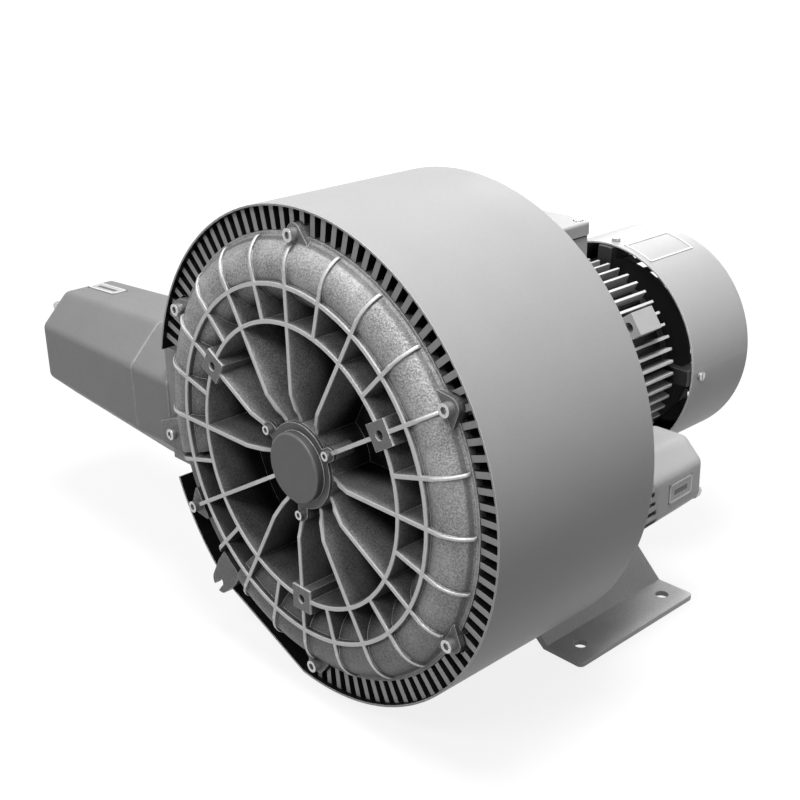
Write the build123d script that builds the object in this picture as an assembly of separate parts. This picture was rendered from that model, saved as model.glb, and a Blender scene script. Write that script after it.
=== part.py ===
from build123d import *
import math
import os

os.makedirs("parts", exist_ok=True)

# Side channel blower, two stages on one motor shaft. Lengths are millimetres.
# Each piece is drawn about the shaft: Y runs back from the shroud's front edge, Z is up,
# and an angle is counted clockwise from the top, seen from the front.

# Place of the shaft over the floor and ahead of the middle of the foot holes
axis_height = 260.0
foot_centre_depth = 324.0

# Fits and clearances
slide_gap = 0.05
seat_gap = 0.2
run_gap = 0.6
bolt_gap = 0.5

# Shroud: rolled sheet round the cooling fins, open on the left for the side port
shroud_radius = 250.0
shroud_depth = 211.0
shroud_sheet = 2.0
shroud_open_from = 248.5
shroud_open_to = 283.0
shroud_flat_from = 186.0
shroud_flat_to = 220.0
shroud_tab_width = 26.0
shroud_tab_height = 17.0
shroud_tab_angles = (30, 90, 150, 330)
shroud_screw_radius = 236.0

# Front cover casting
flange_radius = 224.5
flange_front = 4.0
flange_back = 12.0
crown_radius = 189.0
crown_front = -13.0
ring_inner_radius = 143.0
ring_outer_radius = 179.0
rib_front = -16.0
rib_width = 4.0
rib_count = 24
web_front = 42.0
web_wall = 6.0
channel_wall = 5.0
hub_radius = 43.7
hub_front = -5.5
boss_size = 26.0
boss_hole_radius = 5.0
boss_angles = (60, 180, 300)
lug_angles = (0, 60, 120, 180, 240, 300)
lug_circle = 225.6
lug_front = -1.5
lug_radius = 10.0
stripper_from = 215.0
stripper_to = 257.0
stripper_front = 30.0
hook_angle = 219.0
hook_circle = 242.0
hook_radius = 13.0
hook_slot = 9.0
hook_front = -10.0
hook_plate = 8.0
nut_room = 27.0

# Bearing cap on the front hub
cap_radius = 35.5
cap_front = -18.0
cap_flange = 3.5
cap_ear_circle = 51.0
cap_ear_radius = 7.0

# Pump housing
bore_radius = 216.0
housing_radius = 222.0
housing_back = 200.0
fin_radius = 247.5
fin_front = 5.0
fin_back = 200.0
fin_count = 102
fin_width = 6.2
fin_from = -73.0
fin_to = 187.0
motor_ring_radius = 109.0
motor_ring_wall = 17.0
rear_web_front = 158.0
rear_web_wall = 8.0
rear_rib_count = 12

# Impellers: a vane ring on a web, one facing forward and one facing back
channel_face = 38.0
impeller_gap = 2.0
impeller_radius = 204.5
impeller_width = 42.0
impeller_hub_length = 50.0
impeller_hub_radius = 34.0
impeller_ring_inner = 148.0
impeller_wall = 6.0
vane_count = 36
vane_width = 3.0

# Divider disc between the stages
divider_wall = 14.0
divider_shoulder_radius = 206.0
divider_screw_circle = 211.0

# Shaft steps
front_journal_radius = 15.0
thread_radius = 16.5
impeller_seat_radius = 19.0
drive_journal_radius = 22.5
core_seat_radius = 26.0
fan_journal_radius = 15.0
fan_seat_radius = 13.0
sleeve_radius = 26.0
key_width = 10.0
key_height = 8.0
key_length = 36.0

# Rolling bearings: bore is the journal, then outer radius and width
front_bearing_radius = 31.0
front_bearing_width = 16.0
drive_bearing_radius = 50.0
drive_bearing_width = 25.0
fan_bearing_radius = 36.0
fan_bearing_width = 19.0

# Motor
motor_flange_front = 200.0
motor_flange_wall = 12.0
frame_front = 236.0
frame_back = 440.0
frame_bore_radius = 84.0
frame_radius = 92.0
frame_fin_radius = 109.5
frame_fin_count = 48
frame_fin_width = 3.0
core_front = 266.0
core_back = 410.0
stator_bore_radius = 52.0
air_gap = 0.7
winding_length = 20.0
shield_back = 462.0
fan_front = 472.0
fan_depth = 34.0
fan_blade_radius = 104.0
fan_blade_count = 9
cowl_radius = 128.0
cowl_front = 447.0
cowl_back = 562.0
cowl_sheet = 2.0
cowl_edge_radius = 10.0
cowl_screw_depth = 460.0
cowl_screw_angles = (2, 92, 182, 272)

# Terminal box on top of the motor
box_width = 120.0
box_length = 120.0
box_front = 225.0
box_base = 112.0
box_top = 183.0
box_wall = 4.0
box_corner = 10.0
lid_height = 14.0
gasket_height = 2.0

# Left silencer, along -X
side_axis_depth = 100.0
side_axis_drop = 33.0
port_box_left = 270.0
port_box_low = -86.0
port_box_high = 47.0
side_collar_left = 341.0
side_body_left = 570.0
side_port_left = 583.0
side_width_root = 163.0
side_width_tip = 141.0

# Rear silencer, along +Y
rear_axis_right = 138.0
rear_axis_drop = 90.0
rear_root_depth = 206.0
rear_body_back = 398.0
rear_port_back = 408.0
rear_width_root = 100.0
rear_width_tip = 86.0

# Both silencers
corner_share = 0.26
silencer_wall = 4.0
side_port_radius = 29.8
rear_port_radius = 23.9
liner_wall = 16.0

# Feet: bent plates under the motor
foot_front = 222.0
foot_back = 423.0
foot_sheet = 6.0
foot_outer = 164.0
foot_bend = 114.0
foot_web = 80.0
foot_top = 150.0
foot_hole_x = 139.0
foot_hole_front = 251.0
foot_hole_back = 397.0
foot_hole_radius = 7.5


def disc(radius, front, back):
    """Round bar on the shaft axis between two depths."""
    return Pos(0, (front + back) / 2, 0) * Cylinder(radius, back - front, rotation=(90, 0, 0))


def tube(outer, inner, front, back):
    """Round tube on the shaft axis between two depths."""
    section = Pos((outer + inner) / 2, (front + back) / 2) * Rectangle(outer - inner, back - front)
    return revolve(section, Axis.Y)


def sector(section, start, sweep):
    """Turn a section, drawn as radius and depth, through part of a circle."""
    return Rot(0, start - 90, 0) * revolve(section, Axis.Y, revolution_arc=sweep)


def prism(outline, front, back):
    """Push an outline, drawn as seen from the front, through a range of depths."""
    return extrude(Plane.XZ.offset(-front) * outline, amount=front - back)


def upright(outline, width):
    """A plate in the plane of the shaft and the vertical, drawn as depth and height."""
    return extrude(Plane.YZ * outline, amount=width / 2, both=True)


def block(x0, x1, y0, y1, z0, z1):
    """Rectangular block between pairs of planes."""
    return Pos((x0 + x1) / 2, (y0 + y1) / 2, (z0 + z1) / 2) * Box(x1 - x0, y1 - y0, z1 - z0)


def around(piece, angles):
    """Copies of a piece drawn at the top, set round the shaft axis."""
    return [Rot(0, angle, 0) * piece for angle in angles]


def even(count, start=0.0):
    """Equal angles round the full circle."""
    return [start + index * 360.0 / count for index in range(count)]


def post(circle, radius, front, back):
    """Round bar beside the shaft, at the top of a circle."""
    return Pos(0, (front + back) / 2, circle) * Cylinder(radius, back - front, rotation=(90, 0, 0))


def socket_screw(circle, thread, head_face, length):
    """Socket head screw, drawn at the top of a circle, pointing back from its head face."""
    head = post(circle, thread * 1.6, head_face - 2 * thread, head_face)
    shank = post(circle, thread, head_face - thread, head_face + length)
    hexagon = Pos(0, circle) * RegularPolygon(thread * 0.95, 6)
    return head + shank - prism(hexagon, head_face - 2 * thread - 1, head_face - thread)


def save(node, solids):
    """Set a node in the part's own frame and write its file."""
    placed = Pos(0, -foot_centre_depth, axis_height) * Compound(children=list(solids))
    export_step(Compound([s for s in placed.solids()]), "parts/" + node + ".step")


# Depths that follow from the stack on the shaft
impeller_front_face = channel_face + impeller_gap
impeller_front_back = impeller_front_face + impeller_width
divider_front = impeller_front_back + impeller_gap
divider_back = divider_front + divider_wall
impeller_rear_front = divider_back + impeller_gap
mirror_depth = (divider_front + divider_back) / 2
rear_channel_face = 2 * mirror_depth - channel_face
hub_back_front = impeller_front_back - impeller_hub_length
rear_hub_back = 2 * mirror_depth - hub_back_front
bearing_front = 0.0
nut_front = bearing_front + front_bearing_width + 3
drive_bearing_front = motor_flange_front + 6
fan_bearing_front = frame_back + 1
stator_radius = frame_bore_radius - slide_gap


def channel_section(wall):
    """Section of the ring channel in the front cover, grown by a wall."""
    outer = bore_radius + wall
    inner = impeller_ring_inner + 2 * impeller_wall - 4.5 - wall
    top = crown_front + channel_wall - wall
    edge = flange_back - 1 if wall == 0 else flange_front
    crown = (crown_radius, top)
    outer_arc = ThreePointArc((outer, edge), (outer - 10, top + 5), crown)
    inner_arc = ThreePointArc(crown, (inner + 13, top + 12), (inner, channel_face - 5))
    back = Polyline(inner_arc @ 1, (inner, channel_face + 1), (outer, channel_face + 1), (outer, edge))
    return make_face(outer_arc + inner_arc + back)


def lug_outline(margin):
    """Screw lug on the cover's flange, drawn at the top and grown by a margin."""
    eye = Pos(0, lug_circle) * Circle(lug_radius + margin)
    foot = Pos(0, flange_radius - 8) * Rectangle(2 * lug_radius + 16 + 2 * margin, 4)
    return make_hull(eye.edges() + foot.edges())


def front_cover():
    web_back = web_front + web_wall
    inner_wall = ring_inner_radius - rib_width / 2
    seal_radius = impeller_ring_inner - 1
    hub_room = impeller_hub_radius + 3
    hub_points = [(hub_radius, web_front), (hub_radius, hub_front), (front_bearing_radius, hub_front),
                  (front_bearing_radius, front_bearing_width), (nut_room, front_bearing_width),
                  (nut_room, hub_back_front - 6), (hub_room, hub_back_front - 6), (hub_room, web_back),
                  (seal_radius, web_back), (seal_radius, channel_face), (seal_radius + 10, channel_face),
                  (seal_radius + 10, stripper_front), (inner_wall, stripper_front), (inner_wall, web_front)]
    body = revolve(make_face(Polyline(*hub_points, close=True)), Axis.Y)
    bulge = channel_section(channel_wall)
    body += sector(bulge, stripper_to, 360 - (stripper_to - stripper_from))
    body -= tube(bore_radius + 20, bore_radius - seat_gap, flange_back, channel_face + 2)
    body -= tube(bore_radius, seal_radius, channel_face, web_back + 1)
    body += tube(flange_radius, bore_radius, flange_front, flange_back)
    pan_points = [(inner_wall, stripper_front), (bore_radius - 6, stripper_front),
                  (bore_radius - 6, flange_front), (bore_radius + 2, flange_front),
                  (bore_radius + 2, flange_back), (bore_radius - seat_gap, flange_back),
                  (bore_radius - seat_gap, channel_face), (inner_wall, channel_face)]
    body += sector(make_face(Polyline(*pan_points, close=True)), stripper_from, stripper_to - stripper_from)
    # Radial ribs: every second one runs in to the hub as a deep spoke
    crest = [(flange_front, 221), (-6, 213), (-11, 207.5), (rib_front, 195), (rib_front, 75),
             (-13.5, 66), (-11, 57), (-7, 51), (hub_front, 46)]
    foot_line = [(hub_front, 40), (web_front + 1, 40), (web_front + 1, ring_inner_radius),
                 (stripper_front + 2, ring_inner_radius), (stripper_front + 2, bore_radius - 1),
                 (flange_back - 1, bore_radius - 1), (flange_back - 1, 221)]
    long_rib = make_face(Polyline(*crest, *foot_line, close=True))
    short_cut = block(-rib_width, rib_width, -30, web_back, 0, ring_inner_radius)
    spoke = upright(long_rib, rib_width)
    short_rib = spoke - short_cut
    body += around(spoke, even(rib_count // 2))
    body += around(short_rib, even(rib_count // 2, 360 / rib_count))
    half = rib_width / 2
    body += tube(ring_inner_radius + half, ring_inner_radius - half, rib_front, web_front + 1)
    body += tube(ring_outer_radius + half, ring_outer_radius - half, rib_front, stripper_front + 2)
    # Square bosses on the inner ring, each with a tapped hole
    boss = block(-boss_size / 2, boss_size / 2, rib_front - 1, stripper_front + 1,
                 ring_inner_radius - boss_size / 2, ring_inner_radius + boss_size / 2)
    body += around(boss, boss_angles)
    # Hub ears, screw lugs and the open hook lug
    ear = post(cap_ear_circle, cap_ear_radius, hub_front, 16)
    body += around(ear, boss_angles)
    body += around(prism(lug_outline(0), lug_front, flange_back), lug_angles)
    root = Pos(0, flange_radius - 14) * Rectangle(2 * hook_radius + 8, 18)
    hook = make_hull((Pos(0, hook_circle) * Circle(hook_radius)).edges() + root.edges())
    hook -= Pos(0, hook_circle + hook_radius) * Rectangle(hook_slot, 2 * hook_radius)
    hook -= Pos(0, hook_circle) * Circle(hook_slot / 2 + 0.5)
    body += Rot(0, hook_angle, 0) * (prism(hook, hook_front, hook_front + hook_plate)
                                     + prism(root, hook_front, flange_back - 2))
    # Clear the channel, the register in the housing bore and the drilled holes
    cavity_sweep = 360 - (stripper_to - stripper_from) - 6
    body -= sector(channel_section(0), stripper_to + 3, cavity_sweep)
    body -= around(post(lug_circle, 4 + bolt_gap, lug_front - 1, flange_back + 1), lug_angles)
    body -= around(post(ring_inner_radius, boss_hole_radius, rib_front - 2, 10), boss_angles)
    body -= around(post(cap_ear_circle, cap_ear_radius + seat_gap, rib_front, hub_front), boss_angles)
    body -= around(post(cap_ear_circle, 3, hub_front - 1, 12), boss_angles)
    body -= tube(hub_radius + seat_gap, 1, rib_front, hub_front)
    body -= disc(front_bearing_radius, hub_front - 20, front_bearing_width)
    return [body]


def bearing_cap():
    body = disc(cap_radius, cap_front, hub_front) + disc(hub_radius, hub_front - cap_flange, hub_front)
    body = fillet(body.edges().filter_by(GeomType.CIRCLE).group_by(Axis.Y)[0], 2)
    body += disc(front_bearing_radius - seat_gap, hub_front, bearing_front)
    body -= disc(front_journal_radius + 8, hub_front - 4, bearing_front + 1)
    body += around(post(cap_ear_circle, cap_ear_radius, hub_front - cap_flange, hub_front), boss_angles)
    web = block(-cap_ear_radius, cap_ear_radius, hub_front - cap_flange, hub_front, 38, cap_ear_circle)
    body += around(web, boss_angles)
    body -= around(post(cap_ear_circle, 3 + seat_gap, hub_front - 9, hub_front + 1), boss_angles)
    return [body]


def bearing_cap_screws():
    screw = socket_screw(cap_ear_circle, 3, hub_front - cap_flange, 14)
    return around(screw, boss_angles)


def cover_screws():
    return around(socket_screw(lug_circle, 4, lug_front, 34), lug_angles)


def bearing_outer(bore, radius, front, width):
    """Outer ring of a rolling bearing, with its two shields."""
    race = bore + (radius - bore) * 0.72
    shield = bore + (radius - bore) * 0.34 + run_gap
    body = tube(radius, race, front, front + width)
    body += tube(race + 1, shield, front + 0.8, front + 2)
    body += tube(race + 1, shield, front + width - 2, front + width - 0.8)
    return [body]


def bearing_inner(bore, radius, front, width):
    """Inner ring of a rolling bearing with its balls, which run with the shaft."""
    race = bore + (radius - bore) * 0.34
    return [tube(race, bore, front, front + width)]


def pump_housing():
    rear_bulge = mirror(channel_section(channel_wall), Plane.XZ.offset(-mirror_depth))
    rear_channel = mirror(channel_section(0), Plane.XZ.offset(-mirror_depth))
    web_back = rear_web_front + rear_web_wall
    ring_inner = motor_ring_radius - motor_ring_wall
    points = [(housing_radius, flange_back + seat_gap), (housing_radius, 172), (impeller_ring_inner, 172),
              (impeller_ring_inner, web_back), (motor_ring_radius, web_back),
              (motor_ring_radius, housing_back), (ring_inner, housing_back), (ring_inner, web_back),
              (62, web_back), (62, housing_back - 8), (34, housing_back - 8), (34, rear_web_front),
              (142, rear_web_front), (142, rear_channel_face), (divider_shoulder_radius, rear_channel_face),
              (divider_shoulder_radius, divider_back), (bore_radius, divider_back),
              (bore_radius, flange_back + seat_gap)]
    body = revolve(make_face(Polyline(*points, close=True)), Axis.Y)
    body += revolve(rear_bulge, Axis.Y) - disc(impeller_ring_inner - 2, 0, 300) \
        - tube(bore_radius + 20, 100, 0, rear_channel_face)
    # Cooling fins, all pushed out of one outline, with the bosses for the screws
    fin = Pos(0, (housing_radius - 1 + fin_radius) / 2) * Rectangle(fin_width, fin_radius - housing_radius + 1)
    pitch = 360.0 / fin_count
    angles = [fin_from + index * pitch for index in range(int((fin_to - fin_from) / pitch) + 1)]
    outline = Sketch() + [Rot(0, 0, -angle) * fin for angle in angles]
    body += prism(outline, fin_front, fin_back)
    body += around(post(lug_circle + 4, 11, flange_back + seat_gap, 70), lug_angles)
    body += around(post(shroud_screw_radius, 9, 150, shroud_depth - shroud_sheet), shroud_tab_angles)
    crest = housing_back - 2
    ribs = [(web_back - 1, 60), (web_back - 1, 205), (crest - 4, 205), (crest, 190), (crest, 70), (crest - 6, 60)]
    rear_rib = upright(make_face(Polyline(*ribs, close=True)), 5)
    body += around(rear_rib, even(rear_rib_count, 15))
    # Port box of the side port and boss of the rear port
    half = side_width_root / 2 - 2
    body += block(-port_box_left, -180, side_axis_depth - half, side_axis_depth + half, port_box_low, port_box_high)
    rear_boss = Pos(rear_axis_right, 0, -rear_axis_drop) * disc(46, 150, rear_root_depth)
    body += rear_boss
    # Open the inside again
    body -= disc(bore_radius, flange_back - 10, divider_back)
    body -= disc(divider_shoulder_radius, divider_back - 1, rear_channel_face)
    body -= tube(flange_radius + 0.4, bore_radius - 1, fin_front - 3, flange_back + seat_gap)
    body -= around(prism(lug_outline(1.5), fin_front - 3, flange_back + seat_gap), lug_angles)
    body -= disc(142, rear_channel_face - 1, rear_web_front)
    body -= sector(rear_channel, stripper_to + 3, 360 - (stripper_to - stripper_from) - 6)
    chamber = block(-port_box_left + 8, -227, side_axis_depth - half + 8, side_axis_depth + half - 8,
                    port_box_low + 8, port_box_high - 8)
    window = block(-230, -150, 24, 76, port_box_low + 20, port_box_high - 20)
    opening = Pos(-port_box_left, side_axis_depth, -side_axis_drop) * Rot(0, 90, 0) * Cylinder(48, 30)
    body -= chamber + window + opening
    body -= Pos(rear_axis_right, 0, -rear_axis_drop) * disc(32, 150, rear_root_depth + 1)
    # Tapped and clearance holes
    body -= around(post(lug_circle, 4 + slide_gap, 0, 50), lug_angles)
    body -= around(post(shroud_screw_radius, 3 + slide_gap, 190, shroud_depth), shroud_tab_angles)
    body -= around(post(motor_ring_radius - motor_ring_wall / 2, 4 + slide_gap, 175, 202), even(8, 22.5))
    body -= around(post(divider_screw_circle, 2.5 + slide_gap, divider_back - 1, divider_back + 12), even(6, 30))
    body -= disc(motor_ring_radius - motor_ring_wall, housing_back - 8, 260)
    return [body]


def stage_divider():
    body = tube(bore_radius - seat_gap, sleeve_radius + run_gap, divider_front, divider_back)
    body -= around(post(divider_screw_circle, 2.5 + seat_gap, divider_front - 1, divider_back + 1), even(6, 30))
    body -= around(post(divider_screw_circle, 4.6, divider_front - 1, divider_front + 5.5), even(6, 30))
    return [body]


def divider_screws():
    return around(socket_screw(divider_screw_circle, 2.5, divider_front + 5.5, 18), even(6, 30))


def key_slot(seat, front):
    """Space of one impeller key, half in the shaft and half in the hub."""
    base = seat - key_height / 2
    return block(-key_width / 2, key_width / 2, front, front + key_length, base, base + key_height)


def impeller_front():
    disc_front = impeller_front_face + 20
    back = impeller_front_back
    ring = impeller_ring_inner
    hub_front_face = back - impeller_hub_length
    bore = impeller_seat_radius + slide_gap
    points = [(bore, hub_front_face), (impeller_hub_radius, hub_front_face), (impeller_hub_radius, disc_front),
              (ring, disc_front), (ring, impeller_front_face), (ring + impeller_wall, impeller_front_face),
              (ring + impeller_wall, back - impeller_wall), (impeller_radius, back - impeller_wall),
              (impeller_radius, back), (ring, back), (ring, disc_front + 8), (impeller_hub_radius, disc_front + 8),
              (impeller_hub_radius, back), (bore, back)]
    body = revolve(make_face(Polyline(*points, close=True)), Axis.Y)
    vane = Rectangle(vane_width, impeller_radius - ring - impeller_wall + 1, align=(Align.CENTER, Align.MAX))
    outline = Sketch() + [Rot(0, 0, -angle) * Pos(0, impeller_radius) * vane for angle in even(vane_count)]
    body += prism(outline, impeller_front_face, back - impeller_wall + 1)
    keyway_top = impeller_seat_radius + key_height / 2
    body -= block(-key_width / 2, key_width / 2, hub_front_face - 1, back + 1, 0, keyway_top)
    return [body]


def impeller_rear():
    return [mirror(impeller_front()[0], Plane.XZ.offset(-mirror_depth))]


def key_fronts():
    first = impeller_front_back - key_length - 7
    return (first, 2 * mirror_depth - first - key_length)


def impeller_keys():
    keys = [key_slot(impeller_seat_radius, front) for front in key_fronts()]
    return [fillet(key.edges().filter_by(Axis.Z), key_width * 0.45) for key in keys]


def spacer_sleeve():
    bore = impeller_seat_radius + slide_gap
    return [tube(sleeve_radius, bore, impeller_front_back, impeller_rear_front)]


def shaft():
    points = [(0, -4), (front_journal_radius, -4), (front_journal_radius, nut_front - 3),
              (thread_radius, nut_front - 3), (thread_radius, hub_back_front - 2),
              (impeller_seat_radius, hub_back_front - 2), (impeller_seat_radius, rear_hub_back),
              (drive_journal_radius, rear_hub_back),
              (drive_journal_radius, drive_bearing_front + drive_bearing_width),
              (core_seat_radius, drive_bearing_front + drive_bearing_width),
              (core_seat_radius, fan_bearing_front), (fan_journal_radius, fan_bearing_front),
              (fan_journal_radius, fan_bearing_front + fan_bearing_width),
              (fan_seat_radius, fan_bearing_front + fan_bearing_width), (fan_seat_radius, fan_front + 36),
              (0, fan_front + 36)]
    body = revolve(make_face(Polyline(*points, close=True)), Axis.Y)
    for front in key_fronts():
        slot = key_slot(impeller_seat_radius, front)
        body -= fillet(slot.edges().filter_by(Axis.Z), key_width * 0.45)
    body -= tube(fan_seat_radius + 5, fan_seat_radius - 1, fan_front + 31, fan_front + 32.6)
    return [body]


def shaft_nut():
    hexagon = RegularPolygon(23, 6) - Circle(thread_radius + slide_gap)
    nut = prism(hexagon, nut_front, hub_back_front - 3)
    washer = tube(25, thread_radius + 0.3, hub_back_front - 3, hub_back_front)
    washer -= tube(impeller_seat_radius + 0.2, 0.5, hub_back_front - 2.2, hub_back_front + 1)
    return [nut, washer]


def shaft_seal():
    front = housing_back - 22
    body = tube(34 - slide_gap, 31, front, front + 10)
    body += tube(34 - slide_gap, drive_journal_radius + 0.3, front + 3, front + 6)
    return [body]


def shroud_outline(radius, flat):
    """Shroud as seen from the front: a circle with its lower left side cut straight."""
    middle = (shroud_flat_from + shroud_flat_to) / 2
    half = math.radians(shroud_flat_to - shroud_flat_from) / 2
    reach = shroud_radius * math.cos(half) - flat
    keep = Rot(0, 0, -middle) * Pos(0, reach) * Rectangle(4 * radius, 2 * radius, align=(Align.CENTER, Align.MIN))
    return Circle(radius) - keep


def shroud():
    ring = shroud_outline(shroud_radius, 0) - shroud_outline(shroud_radius - shroud_sheet, shroud_sheet)
    reach = 2 * shroud_radius
    corner = [(reach * math.sin(math.radians(a)), reach * math.cos(math.radians(a)))
              for a in (shroud_open_from, shroud_open_to)]
    ring -= make_face(Polyline((0, 0), *corner, close=True))
    body = prism(ring, 0, shroud_depth)
    tab = Pos(0, shroud_radius - 0.5) * Rectangle(shroud_tab_width, shroud_tab_height + 4, align=(Align.CENTER, Align.MAX))
    tab = tab & Circle(shroud_radius - 1)
    tab -= Pos(0, shroud_screw_radius) * Circle(3 + seat_gap)
    body += around(prism(tab, shroud_depth - shroud_sheet, shroud_depth), shroud_tab_angles)
    return [body]


def shroud_screws():
    screw = post(shroud_screw_radius, 5.5, shroud_depth, shroud_depth + 4)
    screw += post(shroud_screw_radius, 3, 194, shroud_depth + 1)
    slot = Pos(0, shroud_depth + 4, shroud_screw_radius) * Box(12, 3, 1.6)
    return around(screw - slot, shroud_tab_angles)


def octagon(width, rounding):
    """Square outline with broad corners, rounded where the faces meet."""
    half = width / 2
    cut = half - width * corner_share
    points = [(half, -cut), (half, cut), (cut, half), (-cut, half),
              (-half, cut), (-half, -cut), (-cut, -half), (cut, -half)]
    face = make_face(Polyline(*points, close=True))
    return fillet(face.vertices(), rounding)


def silencer_body(root, tip, length, port, port_reach):
    """Cast shell that narrows towards a closed end with a threaded port, drawn upwards."""
    outside = loft([octagon(root, 12), Pos(0, 0, length) * octagon(tip, 12)])
    top = outside.faces().sort_by(Axis.Z)[-1]
    outside = fillet(top.edges(), 7)
    wall = 2 * silencer_wall
    inside = loft([Pos(0, 0, -1) * octagon(root - wall, 8), Pos(0, 0, length - 8) * octagon(tip - wall, 8)])
    boss = Pos(0, 0, length + (port_reach - 8) / 2) * Cylinder(port + 5, port_reach + 8)
    bore = Pos(0, 0, length) * Cylinder(port, 3 * port_reach)
    return outside - inside + boss - bore


def silencer_liner(root, tip, length):
    outside = loft([Pos(0, 0, 3) * octagon(root - 2 * silencer_wall - 1.2, 8),
                    Pos(0, 0, length - 12) * octagon(tip - 2 * silencer_wall - 1.2, 8)])
    return outside - Cylinder(tip / 2 - silencer_wall - liner_wall, 3 * length)


def silencer_tube(tip, length):
    radius = tip / 2 - silencer_wall - liner_wall - 0.3
    wall = Cylinder(radius, length - 16) - Cylinder(radius - 1.5, length)
    body = Pos(0, 0, length / 2 - 4.5) * wall
    drill = Rot(0, 90, 0) * Cylinder(3, 4 * radius)
    rows = [Pos(0, 0, 30 + 26 * row) * Rot(0, 0, turn) * drill
            for row in range(int((length - 50) / 26)) for turn in (0, 45, 90, 135)]
    return body - rows


def side_place(reach):
    """Frame of the left silencer: its own upwards axis points to the left."""
    return Pos(-reach, side_axis_depth, -side_axis_drop) * Rot(0, -90, 0)


def rear_place(reach):
    """Frame of the rear silencer: its own upwards axis points back."""
    return Pos(rear_axis_right, reach, -rear_axis_drop) * Rot(-90, 0, 0)


def corner_reach(tip):
    """Distance of a corner screw from the silencer's axis."""
    return tip * (1 - corner_share) / math.sqrt(2) - 9


def corner_screws(tip, length, turns):
    """Hexagon screws on opposite corners of a silencer's end."""
    reach = corner_reach(tip)
    head = extrude(RegularPolygon(6.5, 6), 7) + Pos(0, 0, 8) * Cylinder(4.5, 3)
    head = Pos(reach, 0, length + 0.2) * head + Pos(reach, 0, length - 3) * Cylinder(3.5, 8)
    return [Rot(0, 0, turn) * head for turn in turns]


def side_silencer_collar():
    length = side_collar_left - port_box_left
    outside = loft([octagon(side_width_root - 2, 12), Pos(0, 0, length) * octagon(side_width_root, 12)])
    inside = Pos(0, 0, 10) * extrude(octagon(side_width_root - 16, 8), length)
    body = outside - inside - Cylinder(48, 60)
    return [side_place(port_box_left) * body]


def side_silencer_body():
    length = side_body_left - side_collar_left
    body = silencer_body(side_width_root, side_width_tip, length, side_port_radius, side_port_left - side_body_left)
    holes = [Rot(0, 0, turn) * Pos(corner_reach(side_width_tip), 0, length) * Cylinder(3.6, 40)
             for turn in (45, 225)]
    return [side_place(side_collar_left) * (body - holes)]


def side_silencer_screws():
    length = side_body_left - side_collar_left
    return [side_place(side_collar_left) * screw for screw in corner_screws(side_width_tip, length, (45, 225))]


def side_silencer_liner():
    length = side_body_left - side_collar_left
    return [side_place(side_collar_left) * silencer_liner(side_width_root, side_width_tip, length)]


def side_silencer_tube():
    length = side_body_left - side_collar_left
    return [side_place(side_collar_left) * silencer_tube(side_width_tip, length)]


def rear_silencer_body():
    length = rear_body_back - rear_root_depth
    body = silencer_body(rear_width_root, rear_width_tip, length, rear_port_radius, rear_port_back - rear_body_back)
    base = Pos(0, 0, 3) * extrude(octagon(rear_width_root - 6, 8), 6) - Cylinder(32, 60)
    body += base
    slots = [Pos(rear_width_root / 2, 22 - 11 * row, 58) * Box(20, 5, 100 - 4 * row) for row in range(5)]
    body -= slots
    holes = [Rot(0, 0, turn) * Pos(corner_reach(rear_width_tip), 0, length) * Cylinder(3.6, 40)
             for turn in (45, 225)]
    return [rear_place(rear_root_depth) * (body - holes)]


def rear_silencer_screws():
    length = rear_body_back - rear_root_depth
    return [rear_place(rear_root_depth) * screw for screw in corner_screws(rear_width_tip, length, (45, 225))]


def motor_flange():
    face = motor_flange_front
    points = [(motor_ring_radius, face), (motor_ring_radius, face + motor_flange_wall), (98, face + 16),
              (94, frame_front), (frame_bore_radius - seat_gap, frame_front),
              (frame_bore_radius - seat_gap, frame_front + 8), (frame_bore_radius - 8, frame_front + 8),
              (frame_bore_radius - 8, face + 20), (drive_bearing_radius + 8, face + 20),
              (drive_bearing_radius + 8, drive_bearing_front + drive_bearing_width),
              (drive_bearing_radius, drive_bearing_front + drive_bearing_width),
              (drive_bearing_radius, drive_bearing_front), (drive_bearing_radius - 8, drive_bearing_front),
              (drive_bearing_radius - 8, face)]
    body = revolve(make_face(Polyline(*points, close=True)), Axis.Y)
    circle = motor_ring_radius - motor_ring_wall / 2
    body -= around(post(circle, 4 + bolt_gap, face - 1, face + 40), even(8, 22.5))
    body -= around(post(circle, 8, face + motor_flange_wall - 1, face + 40), even(8, 22.5))
    return [body]


def flange_bolts():
    circle = motor_ring_radius - motor_ring_wall / 2
    seat = motor_flange_front + motor_flange_wall - 1
    hexagon = Pos(0, circle) * RegularPolygon(7.4, 6)
    bolt = prism(hexagon, seat, seat + 5.3) + post(circle, 4, 178, seat + 1)
    return around(bolt, even(8, 22.5))


def motor_frame():
    body = tube(frame_radius, frame_bore_radius, frame_front, frame_back)
    fin = Pos(0, (frame_radius - 1 + frame_fin_radius) / 2) * Rectangle(frame_fin_width, frame_fin_radius - frame_radius + 1)
    outline = Sketch() + [Rot(0, 0, -angle) * fin for angle in even(frame_fin_count)]
    body += prism(outline, frame_front + 4, frame_back - 4)
    body += block(-52, 52, box_front + 15, box_front + box_length - 4, 80, box_base)
    # Rails that the feet are bolted to, and the lifting boss on the upper right
    for side in (-1, 1):
        inner, outer = sorted((side * (foot_web - foot_sheet - 16), side * (foot_web - foot_sheet)))
        body += block(inner, outer, frame_front + 8, foot_back - 8, -foot_top - 26, -50)
    lift = block(-13, 13, 372, 408, frame_radius - 2, 126)
    lift -= post(114, 6, 371, 409)
    body += around(lift, [55])
    body -= disc(frame_bore_radius, frame_front - 1, frame_back + 1)
    body -= block(-26, 26, box_front + 40, box_front + 80, 60, box_base + 1)
    body -= foot_bolt_set(4 + slide_gap, 30, foot_web - foot_sheet - 20)
    return [body]


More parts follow.
